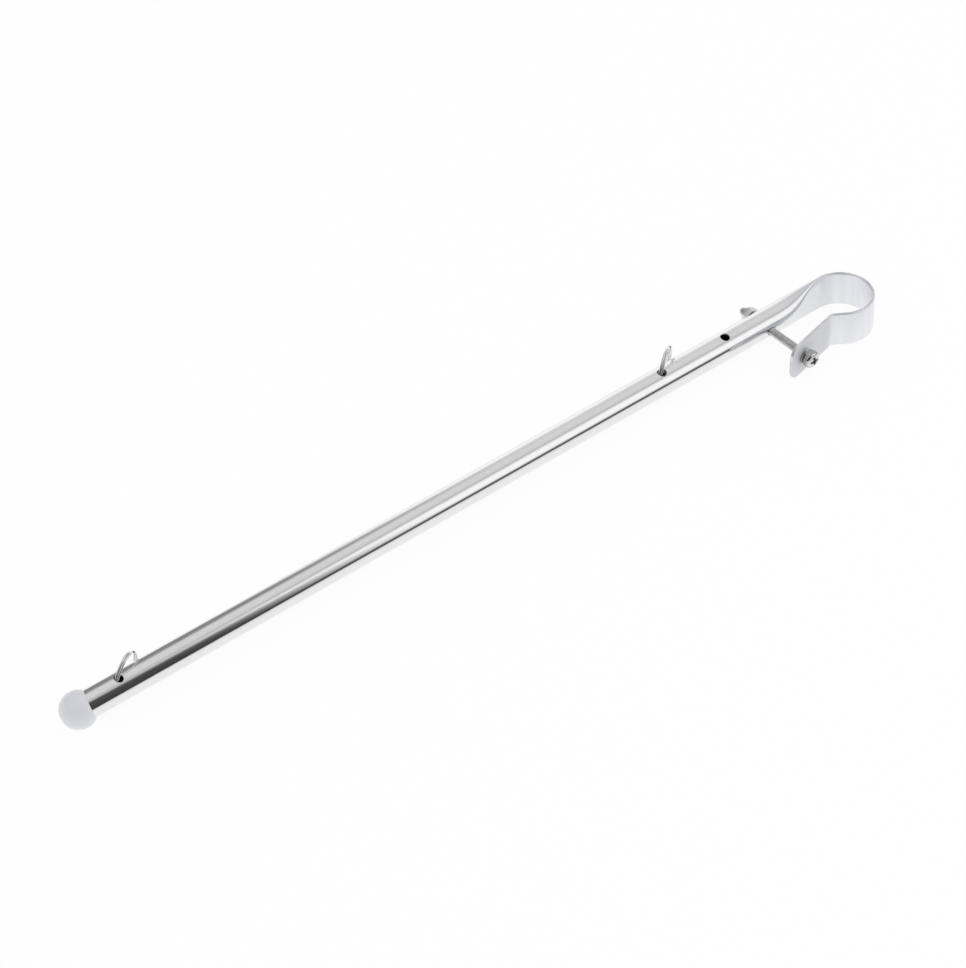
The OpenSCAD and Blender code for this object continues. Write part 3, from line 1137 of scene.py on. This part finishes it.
def card(name, centre, size, facing, material):
    """A flat studio card turned to face a point."""
    bm = bmesh.new()
    bmesh.ops.create_grid(bm, x_segments=1, y_segments=1, size=0.5)
    bmesh.ops.scale(bm, vec=(*size, 1), verts=bm.verts)
    turn = (Vector(facing) - Vector(centre)).to_track_quat("Z", "X").to_matrix().to_4x4()
    bmesh.ops.transform(bm, matrix=Matrix.Translation(centre) @ turn, verts=bm.verts)
    made = bpy.data.objects.new(name, as_mesh(name, bm))
    bpy.context.scene.collection.objects.link(made)
    made.data.materials.append(material)
    return made


def soft_panel(name, edge, lean, rise, fade):
    """A studio panel with soft edges, which only shows in reflections."""
    material = bpy.data.materials.new(name)
    s = Shader(material)
    x, _, z = s.parts(s.place())
    shape = (x - z * lean).between(edge - PANEL_BLUR, edge + PANEL_BLUR) * z.between(*rise)
    strength = (1 - z.between(*fade) * PANEL_FADE) * PANEL_STRENGTH
    clear = s.node("BsdfTransparent")
    lit = s.node("Emission", {}, {"Color": WHITE, "Strength": strength})
    s.finish(s.node("MixShader", {}, {0: shape, 1: clear, 2: lit}))
    return material


def floor_material():
    """Pale floor: white to the eye, and in reflections a pool of light round the object."""
    material = bpy.data.materials.new("studio_floor")
    s = Shader(material)
    _, y, _ = s.parts(s.place())
    pool = y.between(-POOL_REACH, 0.0) * POOL_STRENGTH
    eye = s.node("LightPath", output="Is Camera Ray")
    glossy = s.node("LightPath", output="Is Glossy Ray")
    white = s.node("Emission", {}, {"Color": WHITE, "Strength": FLOOR_GLOW})
    lit = s.node("Emission", {}, {"Color": WHITE, "Strength": pool})
    matt = s.node("BsdfDiffuse", {}, {"Color": FLOOR_MATT})
    both = s.node("MixShader", {}, {0: GLOW_SHARE + eye * GLOW_TO_EYE, 1: matt, 2: white})
    s.finish(s.node("MixShader", {}, {0: glossy, 1: both, 2: lit}))
    return material


def studio_world():
    """White to the eye, soft all round, and a dim room with a pale ceiling in reflections."""
    world = bpy.data.worlds.new("studio")
    bpy.context.scene.world = world
    s = Shader(world)
    eye = s.node("LightPath", output="Is Camera Ray")
    glossy = s.node("LightPath", output="Is Glossy Ray")
    _, y, z = s.parts(s.node("TexCoord", output="Generated"))
    up_and_over = s.node("Math", {"operation": "ARCTAN2"}, {0: z, 1: -y}) / math.pi
    sky = s.node("ValToRGB", {"stops": ROOM_ROUND}, {"Fac": up_and_over})
    seen = s.mix(glossy, ROOM_DIFFUSE, sky)
    seen = s.mix(eye, seen, WHITE)
    s.finish(s.node("Background", {}, {"Color": seen, "Strength": 1.0}), "OutputWorld")


def aim_camera(scene):
    """A long lens, well above the pole on its tab side."""
    level = math.cos(CAMERA_ELEVATION)
    back = Vector((math.sin(CAMERA_AZIMUTH) * level, -math.cos(CAMERA_AZIMUTH) * level,
                   math.sin(CAMERA_ELEVATION)))
    data = bpy.data.cameras.new("camera")
    data.lens = CAMERA_LENS
    data.sensor_width = CAMERA_SENSOR
    data.clip_start, data.clip_end = CAMERA_CLIP
    camera = bpy.data.objects.new("camera", data)
    scene.collection.objects.link(camera)
    camera.location = CAMERA_AIM + back * CAMERA_DISTANCE
    turn = (-back).to_track_quat("-Z", "Y").to_matrix().to_4x4()
    camera.rotation_euler = (turn @ Matrix.Rotation(CAMERA_ROLL, 4, "Z")).to_euler()
    scene.camera = camera


def hang_key_light(scene):
    """A soft lamp over the pole, which doesn't show in reflections."""
    lamp = bpy.data.lights.new("key", "AREA")
    lamp.shape = "RECTANGLE"
    lamp.size, lamp.size_y = KEY_SIZE
    lamp.energy = KEY_ENERGY
    key = bpy.data.objects.new("key", lamp)
    scene.collection.objects.link(key)
    key.location = KEY_PLACE
    down = Vector(KEY_AIM) - key.location
    key.rotation_euler = down.to_track_quat("-Z", "Y").to_euler()
    key.visible_glossy = False


class FLAGPOLE_OT_studio(bpy.types.Operator):
    """Sets the floor, the studio's panels, the light and the camera"""

    bl_idname = "flagpole.studio"
    bl_label = "Studio"

    def execute(self, context):
        scene = context.scene
        scene.view_settings.view_transform = "Standard"
        floor_z = cad_box[0].z - FLOOR_GAP
        card("floor", (0, 0, floor_z), (FLOOR_SIZE, FLOOR_SIZE), (0, 0, 1), floor_material())
        studio_world()
        near = soft_panel("near_panel", edge=-0.035, lean=0.10, rise=(0.0, 0.18), fade=(0.5, 0.8))
        far = soft_panel("far_panel", edge=-0.085, lean=0.50, rise=(-0.05, -0.01), fade=(0.1, 0.43))
        front = card("near_panel", (PANEL_X, -0.436, 0.495), (1.01, 1.7), (PANEL_X, 0, 0.495), near)
        back = card("far_panel", (PANEL_X, 0.464, 0.335), (0.68, 1.8), (PANEL_X, 0, 0.335), far)
        for panel in (front, back):
            panel.visible_camera = False
            panel.visible_diffuse = False
            panel.visible_shadow = False
        hang_key_light(scene)
        aim_camera(scene)
        return {"FINISHED"}


# The add-on --------------------------------------------------------------------------


class FLAGPOLE_PT_panel(bpy.types.Panel):
    """Lists the flagpole's pieces in the sidebar"""

    bl_label = "Flagpole"
    bl_idname = "FLAGPOLE_PT_panel"
    bl_space_type = "VIEW_3D"
    bl_region_type = "UI"
    bl_category = "Flagpole"

    def draw(self, context):
        for group, _ in GROUPS:
            box = self.layout.box()
            sizes = getattr(context.scene, group)
            for name in sizes.bl_rna.properties.keys():
                if name not in ("rna_type", "name"):
                    box.prop(sizes, name)
        for operator in OPERATORS:
            self.layout.operator(operator.bl_idname)


GROUPS = [
    ("flagpole_pole", PoleSizes),
    ("flagpole_fasteners", FastenerSizes),
    ("flagpole_rings", RingSizes),
    ("flagpole_ball", BallSizes),
    ("flagpole_finishes", Finishes),
]
OPERATORS = [
    FLAGPOLE_OT_pole,
    FLAGPOLE_OT_ball,
    FLAGPOLE_OT_rings,
    FLAGPOLE_OT_screw,
    FLAGPOLE_OT_washer,
    FLAGPOLE_OT_nut,
    FLAGPOLE_OT_studio,
]


def register():
    for name, group in GROUPS:
        bpy.utils.register_class(group)
        setattr(bpy.types.Scene, name, bpy.props.PointerProperty(type=group))
    for made in [*OPERATORS, FLAGPOLE_PT_panel]:
        bpy.utils.register_class(made)


def unregister():
    for made in reversed([*OPERATORS, FLAGPOLE_PT_panel]):
        bpy.utils.unregister_class(made)
    for name, group in reversed(GROUPS):
        delattr(bpy.types.Scene, name)
        bpy.utils.unregister_class(group)


def main():
    register()
    bpy.ops.flagpole.pole()
    bpy.ops.flagpole.ball()
    bpy.ops.flagpole.rings()
    bpy.ops.flagpole.screw()
    bpy.ops.flagpole.washer()
    bpy.ops.flagpole.nut()
    bpy.ops.flagpole.studio()


if __name__ == "__main__":
    main()
